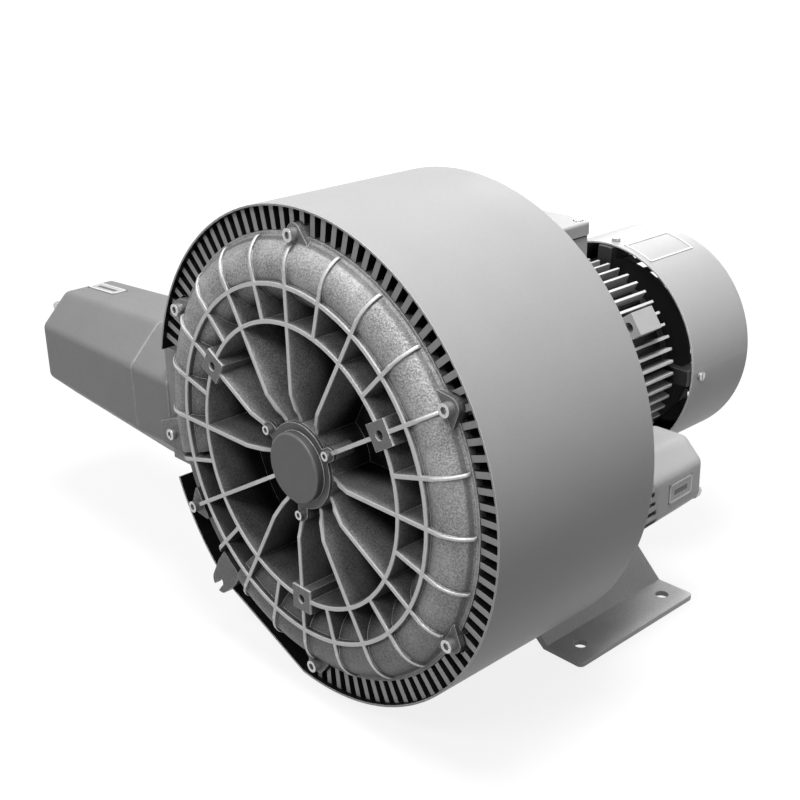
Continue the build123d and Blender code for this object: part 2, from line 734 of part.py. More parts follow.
def foot_bolt_set(radius, length, start):
    """Round bars across the shaft at the places of the foot bolts, both sides."""
    bars = []
    for side in (-1, 1):
        for depth in (foot_front + 40, foot_back - 40):
            middle = side * (start + length / 2)
            bars.append(Pos(middle, depth, -foot_top - 13) * Cylinder(radius, length, rotation=(0, 90, 0)))
    return bars


def foot_bolts():
    head_start = foot_web
    shanks = foot_bolt_set(4, 24, head_start - 22)
    heads = []
    for side in (-1, 1):
        for depth in (foot_front + 40, foot_back - 40):
            hexagon = extrude(Plane.YZ * RegularPolygon(7.4, 6), amount=side * 5.3)
            heads.append(Pos(side * head_start, depth, -foot_top - 13) * hexagon)
    return [head + shank for head, shank in zip(heads, shanks)]


def right_foot():
    floor = -axis_height
    rise = foot_bend - foot_web
    slope = foot_sheet * math.tan(math.radians(22.5))
    inside = [(foot_web - foot_sheet, -foot_top), (foot_web - foot_sheet, floor + rise - slope),
              (foot_bend - slope, floor)]
    top = [(foot_outer, floor + foot_sheet), (foot_bend + slope, floor + foot_sheet),
           (foot_web, floor + foot_sheet + rise + slope), (foot_web, -foot_top)]
    outline = make_face(Polyline(*top, *inside, (foot_outer, floor), close=True))
    body = prism(outline, foot_front, foot_back)
    corners = body.edges().filter_by(Axis.Z).group_by(Axis.X)[-1]
    body = fillet(corners, 6)
    for depth in (foot_hole_front, foot_hole_back):
        body -= Pos(foot_hole_x, depth, floor) * Cylinder(foot_hole_radius, 40)
    for bar in foot_bolt_set(4 + bolt_gap, 60, foot_web - 40):
        body -= bar
    return [body]


def left_foot():
    return [mirror(right_foot()[0], Plane.YZ)]


def stator_core():
    body = tube(stator_radius, stator_bore_radius, core_front, core_back)
    slot = Pos(0, stator_bore_radius + 9) * Rectangle(5, 20)
    outline = Sketch() + [Rot(0, 0, -angle) * slot for angle in even(24)]
    body -= prism(outline, core_front - 1, core_back + 1)
    return [body]


def stator_windings():
    ends = []
    for front in (core_front - winding_length, core_back + 0.2):
        back = front + winding_length - 0.2
        section = Pos(68, (front + back) / 2) * Rectangle(22, back - front)
        ends.append(fillet(revolve(section, Axis.Y).edges(), 6))
    return ends


def rotor_core():
    radius = stator_bore_radius - air_gap
    body = tube(radius, core_seat_radius, core_front, core_back)
    body += tube(radius - 2, radius - 16, core_front - 12, core_back + 12)
    return [body]


def rear_end_shield():
    bearing_back = fan_bearing_front + fan_bearing_width
    points = [(frame_radius, frame_back), (frame_radius, frame_back + 8), (79, frame_back + 8),
              (fan_bearing_radius + 8, shield_back), (27, shield_back), (27, bearing_back),
              (fan_bearing_radius, bearing_back),
              (fan_bearing_radius, fan_bearing_front - 3), (fan_bearing_radius + 7, fan_bearing_front - 3),
              (fan_bearing_radius + 7, frame_back + 3), (frame_bore_radius - 10, frame_back - 4),
              (frame_bore_radius - seat_gap, frame_back - 4), (frame_bore_radius - seat_gap, frame_back)]
    body = revolve(make_face(Polyline(*points, close=True)), Axis.Y)
    arm = block(-9, 9, frame_back, frame_back + 8, 60, cowl_radius - cowl_sheet - seat_gap)
    pad = block(-9, 9, frame_back, cowl_screw_depth + 8, cowl_radius - 16, cowl_radius - cowl_sheet - 1)
    arm = (arm + pad) & disc(cowl_radius - cowl_sheet - seat_gap, 400, 500)
    body += around(arm, cowl_screw_angles)
    hole = Pos(0, cowl_screw_depth, cowl_radius - 8) * Cylinder(2.5 + slide_gap, 20)
    body -= around(hole, cowl_screw_angles)
    return [body]


def end_shield_bolts():
    hexagon = Pos(0, 86) * RegularPolygon(5.6, 6)
    bolt = prism(hexagon, frame_back + 8, frame_back + 12)
    return around(bolt, even(4, 47))


def cooling_fan():
    back = fan_front + fan_depth
    body = tube(30, fan_seat_radius + slide_gap, fan_front, back - 6)
    body += tube(fan_blade_radius - 20, 20, fan_front + 4, fan_front + 8)
    blade = block(-1.5, 1.5, fan_front + 7, back, 26, fan_blade_radius)
    body += around(blade, even(fan_blade_count))
    body -= disc(fan_seat_radius + slide_gap, fan_front - 1, back + 1)
    return [body]


def fan_clip():
    return [tube(18, fan_seat_radius - 0.8, fan_front + 31.2, fan_front + 32.4)]


def fan_cowl():
    outer = disc(cowl_radius, cowl_front, cowl_back)
    outer = fillet(outer.edges().group_by(Axis.Y)[-1], cowl_edge_radius)
    inner = disc(cowl_radius - cowl_sheet, cowl_front - 1, cowl_back - cowl_sheet)
    inner = fillet(inner.edges().group_by(Axis.Y)[-1], cowl_edge_radius - cowl_sheet)
    body = outer - inner
    slots = []
    for radius in (36, 50, 64, 78, 92):
        slots.append(tube(radius + 3.5, radius - 3.5, cowl_back - 5, cowl_back + 1))
    bars = prism(Sketch() + [Rot(0, 0, -angle) * Pos(0, 65) * Rectangle(6, 80) for angle in even(8)],
                 cowl_back - 6, cowl_back + 2)
    body -= [slot - bars for slot in slots]
    hole = Pos(0, cowl_screw_depth, cowl_radius) * Cylinder(2.5 + seat_gap, 20)
    body -= around(hole, cowl_screw_angles)
    return [body]


def cowl_screws():
    head = Pos(0, cowl_screw_depth, cowl_radius + 2.2) * Cylinder(5, 4)
    shank = Pos(0, cowl_screw_depth, cowl_radius - 4) * Cylinder(2.5, 10)
    slot = Pos(0, cowl_screw_depth, cowl_radius + 4.2) * Box(12, 1.4, 2)
    return around(head + shank - slot, cowl_screw_angles)


def box_walls(base, top, grow):
    """Rounded block over the terminal box's plan, grown or shrunk by a margin."""
    width = box_width + 2 * grow
    length = box_length + 2 * grow
    middle = box_front + box_length / 2
    body = Pos(0, middle, (base + top) / 2) * Box(width, length, top - base)
    return fillet(body.edges().filter_by(Axis.Z), box_corner + grow)


box_split = box_top - lid_height


def corner_posts(radius, base, top):
    """Round bars at the four corners of the terminal box."""
    x = box_width / 2 - box_corner
    y = box_length / 2 - box_corner
    middle = box_front + box_length / 2
    return [Pos(sx * x, middle + sy * y, (base + top) / 2) * Cylinder(radius, top - base)
            for sx in (-1, 1) for sy in (-1, 1)]


def terminal_box():
    top = box_split - gasket_height
    body = box_walls(box_base, top, 0) - box_walls(box_base + box_wall, top + 1, -box_wall)
    body += corner_posts(7, box_base, top)
    body -= corner_posts(2.5 + slide_gap, top - 20, top + 1)
    body -= Pos(0, box_front + 60, box_base) * Box(40, 36, 20)
    side = Pos(-box_width / 2, box_front + 60, box_base + 30)
    body -= side * Cylinder(12 + slide_gap, 20, rotation=(0, 90, 0))
    return [body]


def terminal_gasket():
    body = box_walls(box_split - gasket_height, box_split, -0.5)
    body -= box_walls(box_split - 5, box_split + 1, -box_wall)
    body += corner_posts(7, box_split - gasket_height, box_split)
    body -= corner_posts(3, box_split - 5, box_split + 5)
    return [body]


def terminal_lid():
    outer = box_walls(box_split, box_top, 1.5)
    outer = fillet(outer.faces().sort_by(Axis.Z)[-1].edges(), 3)
    body = outer - box_walls(box_split - 1, box_top - box_wall, -box_wall)
    body += corner_posts(7, box_split, box_top - 1)
    body -= corner_posts(2.5 + seat_gap, box_split - 5, box_top + 5)
    body -= corner_posts(5.5, box_top - 4, box_top + 5)
    return [body]


def terminal_lid_screws():
    heads = corner_posts(4.5, box_top - 4, box_top + 0.5)
    shanks = corner_posts(2.5, box_split - 20, box_top - 3)
    slots = [Pos(0, 0, box_top + 0.5) * (Pos(h.center().X, h.center().Y, 0) * Box(10, 1.2, 2.4)) for h in heads]
    return [head + shank - slot for head, shank, slot in zip(heads, shanks, slots)]


def terminal_block():
    middle = box_front + box_length / 2
    base = box_base + box_wall
    body = Pos(0, middle, base + 7) * Box(64, 46, 14)
    studs = [Pos(x, middle + y, base + 18) * Cylinder(2.5, 16) for x in (-20, 0, 20) for y in (-11, 11)]
    return [body + studs]


def cable_gland():
    place = Pos(-box_width / 2, box_front + 60, box_base + 30)
    thread = Pos(3, 0, 0) * Cylinder(12, 12, rotation=(0, 90, 0))
    collar = extrude(Plane.YZ * RegularPolygon(17, 6), amount=-9)
    dome = Pos(-14, 0, 0) * Cylinder(13, 12, rotation=(0, 90, 0))
    bore = Cylinder(6, 80, rotation=(0, 90, 0))
    return [place * (thread + collar + dome - bore)]


def bearings():
    """Outer and inner rings of the three bearings, by node name."""
    rings = {}
    sizes = (("front_bearing", front_journal_radius, front_bearing_radius, bearing_front, front_bearing_width),
             ("drive_bearing", drive_journal_radius, drive_bearing_radius, drive_bearing_front, drive_bearing_width),
             ("fan_bearing", fan_journal_radius, fan_bearing_radius, fan_bearing_front, fan_bearing_width))
    for name, bore, radius, front, width in sizes:
        rings[name + "_outer"] = bearing_outer(bore, radius, front, width)
        rings[name + "_inner"] = bearing_inner(bore, radius, front, width)
    return rings


pieces = (front_cover, bearing_cap, bearing_cap_screws, cover_screws, pump_housing, stage_divider,
          divider_screws, impeller_front, impeller_rear, impeller_keys, spacer_sleeve, shaft, shaft_nut,
          shaft_seal, shroud, shroud_screws, side_silencer_collar, side_silencer_body,
          side_silencer_screws, side_silencer_liner, side_silencer_tube, rear_silencer_body,
          rear_silencer_screws, motor_flange, flange_bolts, motor_frame, stator_core, stator_windings,
          rotor_core, rear_end_shield, end_shield_bolts, cooling_fan, fan_clip, fan_cowl, cowl_screws,
          terminal_box, terminal_gasket, terminal_lid, terminal_lid_screws, terminal_block, cable_gland,
          left_foot, right_foot, foot_bolts)

for piece in pieces:
    save(piece.__name__, piece())
for node, solids in bearings().items():
    save(node, solids)
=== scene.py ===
import math

import bmesh
import bpy
from mathutils import Matrix, Vector


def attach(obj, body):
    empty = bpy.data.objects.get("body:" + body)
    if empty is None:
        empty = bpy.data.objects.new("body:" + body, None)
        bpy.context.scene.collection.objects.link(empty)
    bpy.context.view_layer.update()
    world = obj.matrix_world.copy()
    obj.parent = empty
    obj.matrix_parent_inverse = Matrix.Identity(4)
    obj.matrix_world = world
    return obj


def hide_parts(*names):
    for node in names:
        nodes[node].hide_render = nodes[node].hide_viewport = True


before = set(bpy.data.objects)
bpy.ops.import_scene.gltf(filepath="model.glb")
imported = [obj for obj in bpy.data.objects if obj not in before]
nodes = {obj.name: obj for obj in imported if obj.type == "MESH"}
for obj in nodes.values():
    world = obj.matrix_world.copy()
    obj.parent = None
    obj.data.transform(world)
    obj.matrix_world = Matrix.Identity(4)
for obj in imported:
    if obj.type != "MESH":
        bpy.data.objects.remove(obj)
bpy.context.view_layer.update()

# Camera. It stands ahead of the machine on its right side, a little above the shaft,
# and looks at a point inside the drum, as the photograph does.
camera_target = Vector((0.0450, -0.2429, 0.3139))
camera_distance = 1.2313
camera_lens = 57.78
camera_sensor = 36
azimuth, elevation, roll = (math.radians(angle) for angle in (47.417, 21.998, -1.404))
backward = Vector((math.sin(azimuth) * math.cos(elevation), -math.cos(azimuth) * math.cos(elevation),
                   math.sin(elevation)))
level_right = Vector((0, 0, 1)).cross(backward).normalized()
level_up = backward.cross(level_right)
tilted_right = level_right * math.cos(roll) + level_up * math.sin(roll)
tilted_up = level_up * math.cos(roll) - level_right * math.sin(roll)
camera = bpy.data.objects.new("camera", bpy.data.cameras.new("camera"))
bpy.context.scene.collection.objects.link(camera)
camera.matrix_world = Matrix.Translation(camera_target + backward * camera_distance) @ Matrix(
    (tilted_right, tilted_up, backward)).transposed().to_4x4()
camera.data.lens = camera_lens
camera.data.sensor_width = camera_sensor
bpy.context.scene.camera = camera

# Studio. A pale floor that reads as white paper and keeps the machine's soft shadow,
# one broad lamp over the drum, weak ones ahead of it and behind it, and a pale surround.
mm = 0.001
shaft_height = 0.26
floor_half = 9.0
floor_grey = 0.42
paper_near, paper_far = 0.9, 2.6
paper_near_level = 0.84
surround_light = 0.18
bpy.context.scene.view_settings.view_transform = "Standard"


def colour(red, green=None, blue=None):
    """Scene colour from display values; one value alone gives a neutral grey."""
    values = (red, red if green is None else green, red if blue is None else blue)
    return (*(((v + 0.055) / 1.055) ** 2.4 if v > 0.04 else v / 12.92 for v in values), 1)


def new_material(name):
    """Empty node material with its output and one Principled shader."""
    material = bpy.data.materials.new(name)
    material.use_nodes = True
    tree = material.node_tree
    tree.nodes.clear()
    output = tree.nodes.new("ShaderNodeOutputMaterial")
    shader = tree.nodes.new("ShaderNodeBsdfPrincipled")
    tree.links.new(shader.outputs[0], output.inputs["Surface"])
    return material, tree, shader


def maths(tree, operation, first, second, clamp=False):
    """Math node on two sockets or numbers; gives its output socket."""
    node = tree.nodes.new("ShaderNodeMath")
    node.operation = operation
    node.use_clamp = clamp
    for socket, value in zip(node.inputs, (first, second)):
        if isinstance(value, (int, float)):
            socket.default_value = value
        else:
            tree.links.new(value, socket)
    return node.outputs[0]


def band(tree, value, start, stop, first=0.0, last=1.0, steps="SMOOTHSTEP"):
    """Soft step from the first to the last value as a socket goes from start to stop."""
    node = tree.nodes.new("ShaderNodeMapRange")
    node.interpolation_type = steps
    tree.links.new(value, node.inputs["Value"])
    for label, number in (("From Min", start), ("From Max", stop), ("To Min", first), ("To Max", last)):
        node.inputs[label].default_value = number
    return node.outputs["Result"]


def seen_directly(tree):
    """One where a camera, mirror or glass ray looks at a surface, nought for its light on others."""
    path = tree.nodes.new("ShaderNodeLightPath")
    seen = maths(tree, "MAXIMUM", path.outputs["Is Camera Ray"], path.outputs["Is Glossy Ray"])
    return maths(tree, "MAXIMUM", seen, path.outputs["Is Transmission Ray"])


def paper_material():
    """Dull paper that adds enough light of its own, when looked at, to read as white far away."""
    material, tree, shader = new_material("floor_paper")
    shader.inputs["Base Color"].default_value = colour(floor_grey)
    shader.inputs["Roughness"].default_value = 0.9
    away = tree.nodes.new("ShaderNodeVectorMath")
    away.operation = "LENGTH"
    tree.links.new(tree.nodes.new("ShaderNodeTexCoord").outputs["Object"], away.inputs[0])
    level = band(tree, away.outputs["Value"], paper_near, paper_far, paper_near_level, 1.0)
    shader.inputs["Emission Color"].default_value = (1, 1, 1, 1)
    tree.links.new(maths(tree, "MULTIPLY", seen_directly(tree), level), shader.inputs["Emission Strength"])
    return material


floor_mesh = bpy.data.meshes.new("floor")
floor_mesh.from_pydata([(-floor_half, -floor_half, 0), (floor_half, -floor_half, 0),
                        (floor_half, floor_half, 0), (-floor_half, floor_half, 0)], [], [(0, 1, 2, 3)])
floor = bpy.data.objects.new("floor", floor_mesh)
bpy.context.scene.collection.objects.link(floor)
floor.data.materials.append(paper_material())

world = bpy.data.worlds.new("surround")
bpy.context.scene.world = world
world.use_nodes = True
sky = world.node_tree.nodes["Background"]
sky.inputs["Color"].default_value = (1, 1, 1, 1)
sky_level = band(world.node_tree, seen_directly(world.node_tree), 0.0, 1.0, surround_light, 1.0)
world.node_tree.links.new(sky_level, sky.inputs["Strength"])


def lamp(name, place, width, power):
    """Square area lamp at a place seen from the middle of the drum, which it points at."""
    light = bpy.data.objects.new(name, bpy.data.lights.new(name, "AREA"))
    bpy.context.scene.collection.objects.link(light)
    light.data.size = width
    light.data.energy = power
    middle = Vector((0, -0.15, shaft_height))
    light.location = middle + Vector(place)
    light.rotation_euler = (-Vector(place)).to_track_quat("-Z", "Y").to_euler()


lamp("top_lamp", (0.35, -0.30, 2.1), width=0.7, power=50)
lamp("front_lamp", (0.8, -1.85, 2.1), width=0.8, power=29)
lamp("back_lamp", (-1.0, 2.5, 0.9), width=1.4, power=26)


# Front cover. One big aluminium sand casting: the bulge of the ring channel, deep spokes
# and two rib rings. It is shot-blasted; its rib crests rub and carry a painted highlight, and its pockets carry
# black painted shade.
def new_group(name, inputs, outputs):
    """Shader node group with float inputs (name, default) and typed outputs (name, kind)."""
    group = bpy.data.node_groups.new(name, "ShaderNodeTree")
    for label, default in inputs:
        socket = group.interface.new_socket(name=label, in_out="INPUT", socket_type="NodeSocketFloat")
        socket.default_value = default
    for label, kind in outputs:
        group.interface.new_socket(name=label, in_out="OUTPUT", socket_type="NodeSocket" + kind)
    return group, group.nodes.new("NodeGroupInput"), group.nodes.new("NodeGroupOutput")


def noise(tree, place, size, detail, rough=0.55):
    """Noise that varies over about a given length in metres; size is a socket or a number."""
    node = tree.nodes.new("ShaderNodeTexNoise")
    tree.links.new(place, node.inputs["Vector"])
    tree.links.new(maths(tree, "DIVIDE", 1.0, size), node.inputs["Scale"])
    node.inputs["Detail"].default_value = detail
    node.inputs["Roughness"].default_value = rough
    return node.outputs["Fac"]


def stretched(tree, value, factor, offset):
    """Value times a factor plus an offset, held between nought and one."""
    socket = maths(tree, "MULTIPLY_ADD", value, factor, clamp=True)
    socket.node.inputs[2].default_value = offset
    return socket


def build_cast_skin():
    """Blasted casting skin: fine grains, larger blotches, and a height for the bump."""
    group, entry, leave = new_group("cast_skin", [("Grain", 1.2 * mm), ("Blotch", 30 * mm)],
                                    [("Height", "Float"), ("Grains", "Float"), ("Blotches", "Float")])
    place = group.nodes.new("ShaderNodeTexCoord").outputs["Object"]
    fine = noise(group, place, entry.outputs["Grain"], 3.0, 0.7)
    broad = noise(group, place, entry.outputs["Blotch"], 4.0)
    pits = group.nodes.new("ShaderNodeTexVoronoi")
    group.links.new(place, pits.inputs["Vector"])
    group.links.new(maths(group, "DIVIDE", 0.6, entry.outputs["Grain"]), pits.inputs["Scale"])
    height = maths(group, "ADD", fine, maths(group, "MULTIPLY", pits.outputs["Distance"], 0.35))
    group.links.new(height, leave.inputs["Height"])
    group.links.new(stretched(group, fine, 4.2, -1.6), leave.inputs["Grains"])
    group.links.new(stretched(group, broad, 2.2, -0.6), leave.inputs["Blotches"])
    return group


def build_edge_wear_and_highlight():
    """Mask of the outer edges, for rubbed wear and a painted highlight, broken up by noise, and a normal that rounds
    those edges.
    """
    group, entry, leave = new_group("edge_wear_and_highlight", [("Radius", 0.8 * mm), ("Strength", 6.0)],
                                    [("Mask", "Float"), ("Normal", "Vector")])
    bevel = group.nodes.new("ShaderNodeBevel")
    bevel.samples = 4
    group.links.new(entry.outputs["Radius"], bevel.inputs["Radius"])
    true_normal = group.nodes.new("ShaderNodeNewGeometry").outputs["True Normal"]
    rounded = group.nodes.new("ShaderNodeVectorMath")
    rounded.operation = "DOT_PRODUCT"
    group.links.new(bevel.outputs[0], rounded.inputs[0])
    group.links.new(true_normal, rounded.inputs[1])
    bend = maths(group, "SUBTRACT", 1.0, rounded.outputs["Value"])
    place = group.nodes.new("ShaderNodeTexCoord").outputs["Object"]
    patchy = maths(group, "ADD", noise(group, place, 9 * mm, 3.0), 0.25)
    strong = maths(group, "MULTIPLY", bend, entry.outputs["Strength"])
    group.links.new(maths(group, "MULTIPLY", strong, patchy, clamp=True), leave.inputs["Mask"])
    group.links.new(bevel.outputs[0], leave.inputs["Normal"])
    return group


def build_recess_shade_and_dust():
    """Mask of pockets and corners that light and blasting don't reach, for painted shade there and settled dust."""
    group, entry, leave = new_group("recess_shade_and_dust", [("Reach", 30 * mm), ("Bias", 0.1)], [("Mask", "Float")])
    hollow = group.nodes.new("ShaderNodeAmbientOcclusion")
    hollow.samples = 8
    group.links.new(entry.outputs["Reach"], hollow.inputs["Distance"])
    closed = maths(group, "SUBTRACT", 1.0, hollow.outputs["AO"])
    place = group.nodes.new("ShaderNodeTexCoord").outputs["Object"]
    uneven = maths(group, "MULTIPLY", noise(group, place, 14 * mm, 4.0), 0.3)
    mask = maths(group, "SUBTRACT", maths(group, "ADD", closed, uneven), entry.outputs["Bias"], clamp=True)
    group.links.new(mask, leave.inputs["Mask"])
    return group


def build_shaft_place():
    """Place about the shaft: radius, depth behind the shroud's front edge, and where a face looks."""
    group, entry, leave = new_group("shaft_place", [("Shaft Height", shaft_height), ("Front", 0.324)],
                                    [("Radius", "Float"), ("Depth", "Float"), ("Outward", "Float"),
                                     ("Forward", "Float")])
    place = group.nodes.new("ShaderNodeSeparateXYZ")
    group.links.new(group.nodes.new("ShaderNodeTexCoord").outputs["Object"], place.inputs[0])
    look = group.nodes.new("ShaderNodeSeparateXYZ")
    group.links.new(group.nodes.new("ShaderNodeNewGeometry").outputs["True Normal"], look.inputs[0])
    across = place.outputs["X"]
    level = maths(group, "SUBTRACT", place.outputs["Z"], entry.outputs["Shaft Height"])
    square = maths(group, "ADD", maths(group, "MULTIPLY", across, across), maths(group, "MULTIPLY", level, level))
    radius = maths(group, "SQRT", square, 0.0)
    towards = maths(group, "ADD", maths(group, "MULTIPLY", across, look.outputs["X"]),
                    maths(group, "MULTIPLY", level, look.outputs["Z"]))
    group.links.new(radius, leave.inputs["Radius"])
    group.links.new(maths(group, "ADD", place.outputs["Y"], entry.outputs["Front"]), leave.inputs["Depth"])
    group.links.new(maths(group, "DIVIDE", towards, radius), leave.inputs["Outward"])
    group.links.new(maths(group, "MULTIPLY", look.outputs["Y"], -1.0), leave.inputs["Forward"])
    return group


shaft_place = build_shaft_place()
cast_skin = build_cast_skin()
edge_wear_and_highlight = build_edge_wear_and_highlight()
recess_shade_and_dust = build_recess_shade_and_dust()


def place_group(tree, group, **values):
    """Copy of a node group in a material, with this material's own values."""
    node = tree.nodes.new("ShaderNodeGroup")
    node.node_tree = group
    for label, value in values.items():
        node.inputs[label].default_value = value
    return node


def object_place(tree):
    """Outputs X, Y and Z of the place in the shared frame."""
    place = tree.nodes.new("ShaderNodeSeparateXYZ")
    tree.links.new(tree.nodes.new("ShaderNodeTexCoord").outputs["Object"], place.inputs[0])
    return place.outputs


def blend_colour(tree, mask, first, second):
    """Mix of two colours, each a socket or a value, by a mask socket."""
    node = tree.nodes.new("ShaderNodeMix")
    node.data_type = "RGBA"
    tree.links.new(mask, node.inputs["Factor"])
    for socket, value in ((node.inputs[6], first), (node.inputs[7], second)):
        if isinstance(value, tuple):
            socket.default_value = value
        else:
            tree.links.new(value, socket)
    return node.outputs[2]


def weathered(name, body, spots, edge, recess, metallic, gloss, grain, relief, edge_radius=0.8 * mm,
              edge_strength=6.0, reach=25 * mm, bias=0.15, spot_share=0.35, specular=0.5, layers=None):
    """Finish with grain, spots of a second tone, own layers, rubbed edges with a painted highlight, and painted
    shade with some dust in recesses.
    """
    material, tree, shader = new_material(name)
    skin = place_group(tree, cast_skin, Grain=grain, Blotch=grain * 28)
    wear_and_highlight = place_group(tree, edge_wear_and_highlight, Radius=edge_radius, Strength=edge_strength)
    shade_and_dust_mask = place_group(tree, recess_shade_and_dust, Reach=reach, Bias=bias)
    spotted = maths(tree, "MULTIPLY", maths(tree, "ADD", skin.outputs["Grains"], skin.outputs["Blotches"]),
                    spot_share, clamp=True)
    tone = blend_colour(tree, spotted, body, spots)
    # Painted shade: recesses and corners take the darker recess colour, with a little dust.
    tone = blend_colour(tree, shade_and_dust_mask.outputs["Mask"], tone, recess)
    for mask, shade in layers(tree) if layers else ():
        tone = blend_colour(tree, mask, tone, shade)
    # Edges take the light edge colour: partly rubbed wear, partly a painted highlight.
    tone = blend_colour(tree, wear_and_highlight.outputs["Mask"], tone, edge)
    tree.links.new(tone, shader.inputs["Base Color"])
    shader.inputs["Metallic"].default_value = metallic
    shader.inputs["Specular IOR Level"].default_value = specular
    smoothest, roughest = gloss
    shine = band(tree, skin.outputs["Grains"], 0.0, 1.0, smoothest, roughest, steps="LINEAR")
    tree.links.new(shine, shader.inputs["Roughness"])
    bump = tree.nodes.new("ShaderNodeBump")
    bump.inputs["Strength"].default_value = 1.0
    bump.inputs["Distance"].default_value = relief
    tree.links.new(skin.outputs["Height"], bump.inputs["Height"])
    tree.links.new(wear_and_highlight.outputs["Normal"], bump.inputs["Normal"])
    tree.links.new(bump.outputs["Normal"], shader.inputs["Normal"])
    return material


def dress(material, *names):
    """Put a finish on CAD nodes, in every slot that they have."""
    for name in names:
        slots = nodes[name].data.materials
        if not slots:
            slots.append(material)
        for index in range(len(slots)):
            slots[index] = material


def cover_layers(tree):
    """Painted shade growing towards the lower left, painted shade lines by the ribs, black painted shade in the
    pockets, dull lugs, and bright crests that are partly a painted highlight.
    """
    about = place_group(tree, shaft_place).outputs
    place = object_place(tree)
    # Painted shade: the casting grows darker towards the lower left, where less light falls.
    uphill = maths(tree, "ADD", maths(tree, "MULTIPLY", place["X"], 0.35), place["Z"])
    yield band(tree, uphill, 380 * mm, 60 * mm, 0.0, 0.74), colour(0.17)
    # Painted shade: a dark line in the corners beside the ribs, where their shadow falls.
    rib_shade_line = place_group(tree, recess_shade_and_dust, Reach=7 * mm, Bias=0.42).outputs["Mask"]
    yield rib_shade_line, colour(0.10)
    # The pockets lie inside the outer rib ring; their floors are the faces that look forward. They are painted black
    # as painted shade.
    inside_ring = band(tree, about["Radius"], 180 * mm, 174 * mm)
    pocket_shade = maths(tree, "MULTIPLY", band(tree, about["Depth"], -4 * mm, 16 * mm), inside_ring)
    yield maths(tree, "MULTIPLY", pocket_shade, band(tree, about["Forward"], 0.0, 0.6, 0.08, 1.0)), colour(0.02)
    pocket_floor_shade = maths(tree, "MULTIPLY", band(tree, about["Depth"], 8 * mm, 34 * mm, 0.0, 0.9), inside_ring)
    yield pocket_floor_shade, colour(0.03)
    # The lugs stand out past the channel's bulge, close behind the shroud's front edge.
    lug = maths(tree, "MULTIPLY", band(tree, about["Radius"], 216 * mm, 218 * mm),
                band(tree, about["Depth"], 2.5 * mm, 1 * mm))
    yield maths(tree, "MULTIPLY", lug, 0.75), colour(0.33)
    # The crests fall towards the hub, so their depth is a straight line over the radius. Their flat tops are painted
    # light, partly as rubbed metal and partly as a painted highlight.
    crest = band(tree, about["Radius"], 46 * mm, 75 * mm, -5.5 * mm, -16 * mm, steps="LINEAR")
    above = maths(tree, "SUBTRACT", about["Depth"], crest)
    crest_highlight = maths(tree, "MULTIPLY", band(tree, above, 2.0 * mm, 0.7 * mm),
                 band(tree, about["Radius"], 200 * mm, 197 * mm))
    hub_free = band(tree, about["Radius"], 44.5 * mm, 46 * mm)
    yield maths(tree, "MULTIPLY", crest_highlight, hub_free), colour(0.80)
    boss = maths(tree, "MULTIPLY", band(tree, about["Depth"], -16.4 * mm, -16.8 * mm),
                 band(tree, about["Forward"], 0.6, 0.9))
    yield boss, colour(0.40)


# Its near-black recess colour, over a long reach, is painted shade in the deep pockets.
cover_cast = weathered("cover_cast", body=colour(0.80), spots=colour(0.42), edge=colour(0.97), recess=colour(0.04),
                       metallic=0.2, gloss=(0.30, 0.46), grain=1.7 * mm, relief=0.8 * mm, edge_radius=0.9 * mm,
                       edge_strength=5.0, reach=45 * mm, bias=0.36, spot_share=0.55, layers=cover_layers)
dress(cover_cast, "front_cover")

# Rib beads. The cast ribs of the cover run on over the shoulder of the ring channel as low
# rounded beads, out to the flange's edge; their tops are rubbed bright and carry a painted highlight.
shroud_front = 324
shaft_level = 260
shoulder_circle = 193.9
shoulder_depth = 16.43
shoulder_radius = 29.8
bead_section = ((-2.0, -0.8), (-1.8, 1.9), (-1.1, 2.7), (1.1, 2.7), (1.8, 1.9), (2.0, -0.8))
bead_top_faces = (1, 2, 3)
bead_spacing = 15
bead_from, bead_to, bead_to_at_lug, bead_step = -4, 64, 46, 2
bead_fade, bead_lowest = 10, 0.15
lug_angles = (0, 60, 120, 180, 240, 300)
port_from, port_to = 214, 258
crest_highlight_and_rub = weathered("crest_highlight_and_rub", body=colour(0.84), spots=colour(0.60), edge=colour(1.0), recess=colour(0.5),
                        metallic=0.3, gloss=(0.32, 0.5), grain=1.7 * mm, relief=0.3 * mm, edge_radius=0.6 * mm,
                        reach=3 * mm, bias=0.5)


def mesh_piece(name, points, faces, finishes, slot, body="root", smooth=False, bevel=0.0):
    """New piece from points in metres, riding on a body, with its finishes; its slot is not used."""
    mesh = bpy.data.meshes.new(name)
    mesh.from_pydata([tuple(point) for point in points], [], faces)
    for finish in finishes:
        mesh.materials.append(finish)
    shape = bmesh.new()
    shape.from_mesh(mesh)
    bmesh.ops.recalc_face_normals(shape, faces=shape.faces)
    shape.to_mesh(mesh)
    shape.free()
    for face in mesh.polygons:
        face.use_smooth = smooth
    new = bpy.data.objects.new(name, mesh)
    bpy.context.scene.collection.objects.link(new)
    if bevel:
        rounding = new.modifiers.new("rounding", "BEVEL")
        rounding.width = bevel
        rounding.segments = 2
    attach(new, body)
    return new


def colour_faces(piece, finish_of_face):
    """Give each face of a piece the finish whose number is listed for it."""
    for face, index in zip(piece.data.polygons, finish_of_face):
        face.material_index = index


def row_point(across, depth, up):
    """Row point from millimetres right of the shaft, behind the shroud's front and above the shaft."""
    return Vector((across, depth - shroud_front, up + shaft_level)) * mm


def row_place(radius, depth, angle):
    """Row point from a radius, a depth and an angle clockwise from the top, in millimetres and degrees."""
    turn = math.radians(angle)
    return row_point(radius * math.sin(turn), depth, radius * math.cos(turn))


